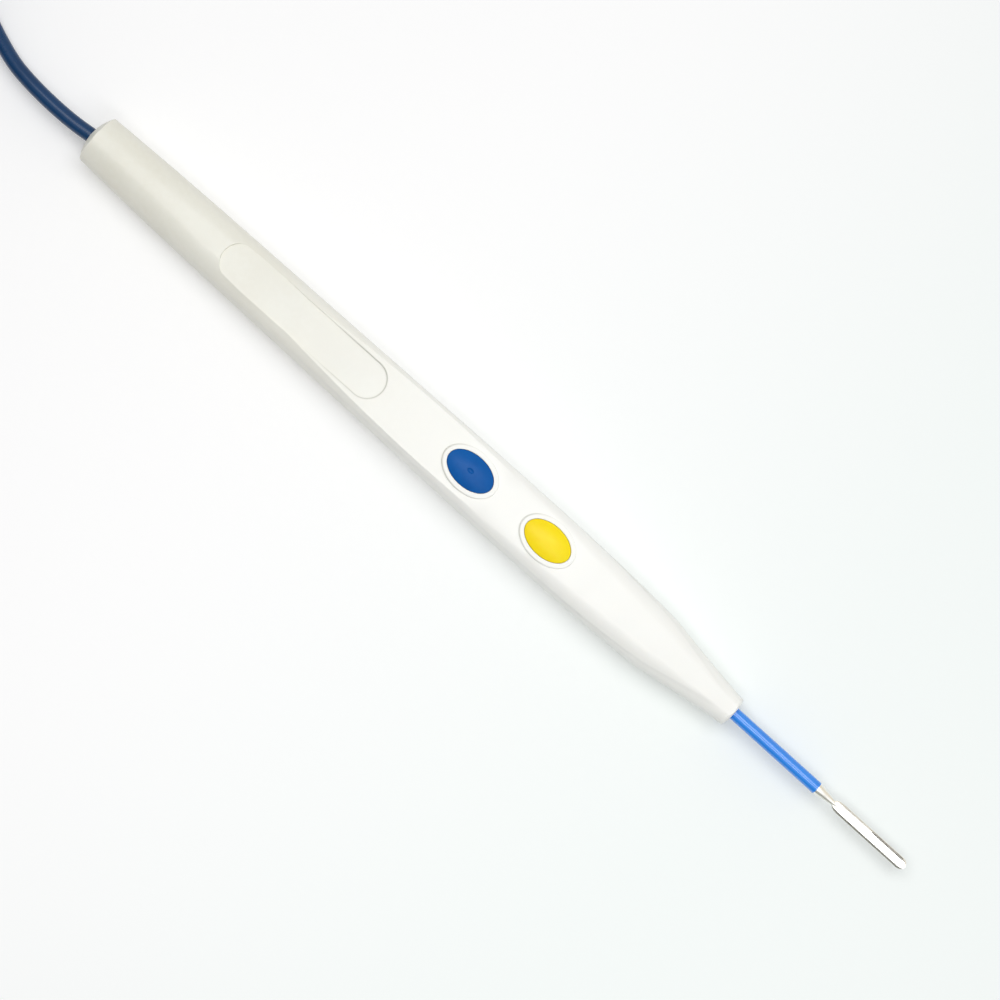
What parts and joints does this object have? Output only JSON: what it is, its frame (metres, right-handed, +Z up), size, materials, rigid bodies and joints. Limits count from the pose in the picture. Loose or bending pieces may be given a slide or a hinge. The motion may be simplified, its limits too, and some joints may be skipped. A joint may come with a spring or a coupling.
{
  "type": "electrosurgical pencil",
  "caption": "Hand-switched electrosurgical pencil: slim moulded handle with two oval push buttons, pull-out blade electrode and a long corded plug.",
  "frame": {"origin": "middle of the pencil's bounding box, without its cord, at the height of the surface that it lies on", "axes": "+X along the handle towards the blade's tip, +Z up out of the buttons, +Y to the left of the handle seen from its rear"},
  "size_m": [0.4182, 0.041, 0.0133],
  "materials": {
    "handle_white": "satin moulded ivory white",
    "coag_blue": "satin moulded blue",
    "cut_yellow": "satin moulded yellow",
    "sleeve_blue": "glossy extruded insulation",
    "blade_steel": "polished stainless steel",
    "spring_steel": "bright stamped steel",
    "contact_brass": "bright drawn brass",
    "board_green": "lacquered board",
    "pad_copper": "plated copper",
    "solder": "dull solder",
    "clamp_nylon": "natural nylon",
    "core_red": "core insulation",
    "core_yellow": "core insulation",
    "core_blue": "core insulation",
    "cord_navy": "glossy soft jacket",
    "tie_paper": "plain paper band",
    "plug_white": "satin moulded ivory white",
    "boot_navy": "soft moulded boot",
    "pin_nickel": "nickel-plated brass"
  },
  "bodies": {
    "handle": {"upper_shell": "handle_white", "lower_shell": "handle_white", "coag_dome": "spring_steel", "cut_dome": "spring_steel", "circuit_board": "board_green", "contact_pads": "pad_copper", "electrode_socket": "contact_brass", "socket_strap": "contact_brass", "cable_clamp": "clamp_nylon", "active_wire": "core_red", "cut_wire": "core_yellow", "coag_wire": "core_blue", "solder_joints": "solder", "cord": "cord_navy", "cord_hank": "cord_navy", "cord_tail": "cord_navy", "cord_tie": "tie_paper", "plug_upper_shell": "plug_white", "plug_lower_shell": "plug_white", "plug_boot": "boot_navy", "active_pin": "pin_nickel", "cut_pin": "pin_nickel", "coag_pin": "pin_nickel", "active_lead": "core_red", "cut_lead": "core_yellow", "coag_lead": "core_blue"},
    "coag_key": {"coag_button": "coag_blue"},
    "cut_key": {"cut_button": "cut_yellow"},
    "electrode": {"blade_electrode": "blade_steel", "electrode_sleeve": "sleeve_blue"}
  },
  "joints": [
    {"name": "coag_press", "type": "slide", "parent": "handle", "child": "coag_key", "axis": [0, 0, -1], "range_m": [0, 0.0006], "stiffness_N_per_m": 2500, "springref_m": -0.0003, "deforming": ["coag_dome"]},
    {"name": "cut_press", "type": "slide", "parent": "handle", "child": "cut_key", "axis": [0, 0, -1], "range_m": [0, 0.0006], "stiffness_N_per_m": 2500, "springref_m": -0.0003, "deforming": ["cut_dome"]},
    {"name": "electrode_pull", "type": "slide", "parent": "handle", "child": "electrode", "axis": [1, 0, 0], "range_m": [0, 0.0255]}
  ]
}
